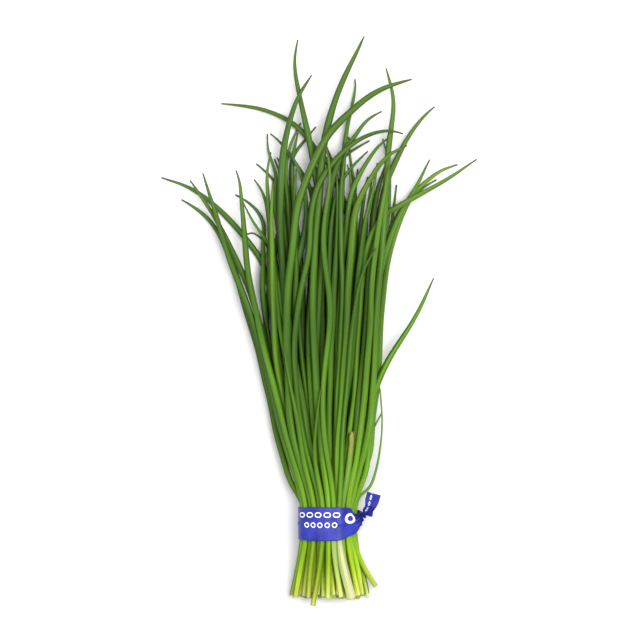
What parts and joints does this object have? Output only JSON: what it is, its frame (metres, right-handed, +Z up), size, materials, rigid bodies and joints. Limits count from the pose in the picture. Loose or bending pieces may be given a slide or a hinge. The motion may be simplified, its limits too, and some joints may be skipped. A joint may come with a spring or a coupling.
{
  "type": "chive bunch",
  "caption": "Bunch of fresh chives with long hollow green leaves, lying flat and gathered near the cut ends by a blue ribbon twist tie.",
  "frame": {"origin": "middle of the flat underside of the tie, on the surface that the bunch lies on", "axes": "+Y along the leaves from the tie to the tips, +X to the right of the bunch with the tips pointing away, +Z up from the surface"},
  "size_m": [0.1583, 0.2852, 0.0248],
  "materials": {
    "leaf": "waxy leaf, half matt, finely ribbed along its length",
    "leaf_bright": "waxy leaf of a lighter yellow-green, half matt",
    "leaf_dry": "torn or withered leaf, dry and matt",
    "ribbon": "smooth satin plastic film, plain blue with plain pale marks",
    "wire": "thin soft drawn wire"
  },
  "bodies": {
    "root": {"leaf_01": "leaf", "leaf_02": "leaf", "leaf_03": "leaf", "leaf_04": "leaf", "leaf_05": "leaf", "leaf_06": "leaf", "leaf_07": "leaf", "leaf_08": "leaf", "leaf_09": "leaf", "leaf_10": "leaf_bright", "leaf_11": "leaf", "leaf_12": "leaf", "leaf_13": "leaf", "leaf_14": "leaf", "leaf_15": "leaf", "leaf_16": "leaf", "leaf_17": "leaf", "leaf_18": "leaf", "leaf_19": "leaf", "leaf_20": "leaf", "leaf_21": "leaf", "leaf_22": "leaf", "leaf_23": "leaf", "leaf_24": "leaf", "leaf_25": "leaf", "leaf_26": "leaf", "leaf_27": "leaf", "leaf_28": "leaf", "leaf_29": "leaf", "leaf_30": "leaf_bright", "leaf_31": "leaf", "leaf_32": "leaf", "leaf_33": "leaf", "leaf_34": "leaf", "leaf_35": "leaf", "leaf_36": "leaf", "leaf_37": "leaf", "leaf_38": "leaf_bright", "leaf_39": "leaf", "leaf_40": "leaf_bright", "leaf_41": "leaf", "leaf_42": "leaf", "leaf_43": "leaf", "leaf_44": "leaf_bright", "leaf_45": "leaf_bright", "leaf_46": "leaf_dry", "leaf_47": "leaf_bright", "leaf_48": "leaf", "leaf_49": "leaf_dry", "shoot_01": "leaf", "shoot_02": "leaf", "shoot_03": "leaf", "shoot_04": "leaf", "shoot_05": "leaf", "shoot_06": "leaf", "shoot_07": "leaf", "shoot_08": "leaf", "shoot_09": "leaf", "tie_ribbon": "ribbon", "tie_wire": "wire"}
  },
  "joints": []
}
